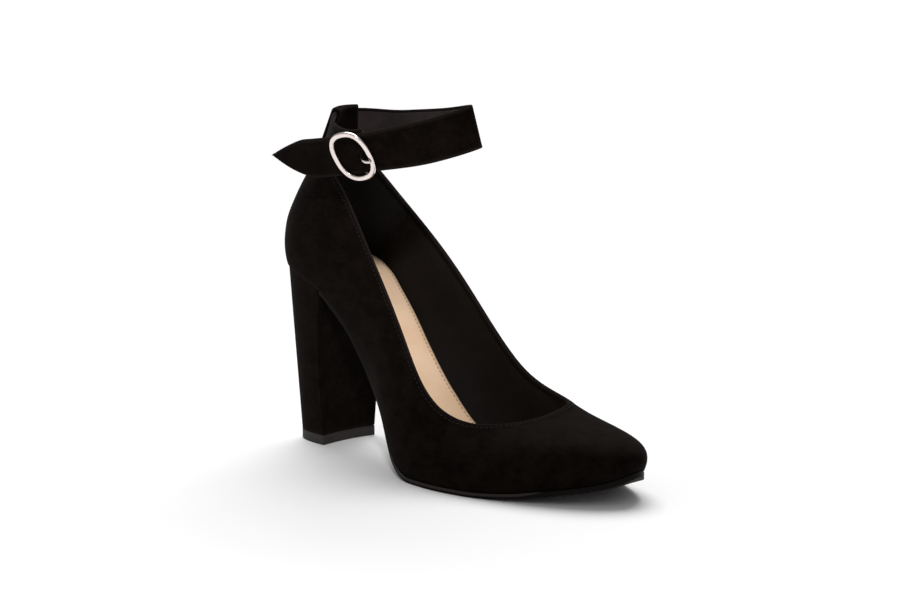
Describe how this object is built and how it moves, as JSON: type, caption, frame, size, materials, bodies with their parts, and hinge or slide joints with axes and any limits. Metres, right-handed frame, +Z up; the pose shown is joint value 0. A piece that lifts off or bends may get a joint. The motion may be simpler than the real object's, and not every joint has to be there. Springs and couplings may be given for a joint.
{
  "type": "pump shoe",
  "caption": "Pump shoe with a closed almond toe, low-cut throat, high block heel and a wide buckled ankle strap.",
  "frame": {"origin": "on the floor under the heel, on the underside of the top lift", "axes": "+X from heel to toe, +Y to the wearer's left, which is the inner side of this right shoe, +Z up"},
  "size_m": [0.2198, 0.0825, 0.1735],
  "materials": {
    "black_suede": "napped black suede",
    "sole_leather": "dark satin sole leather",
    "tan_leather": "smooth pale tan leather",
    "lift_rubber": "matt dark grey-brown",
    "polished_nickel": "polished warm silver"
  },
  "bodies": {
    "root": {"upper": "black_suede", "outsole": "sole_leather", "insole": "tan_leather", "heel": "black_suede", "top_lift": "lift_rubber", "ankle_strap": "black_suede", "strap_carrier": "black_suede", "buckle_frame": "polished_nickel", "buckle_prong": "polished_nickel"}
  },
  "joints": []
}
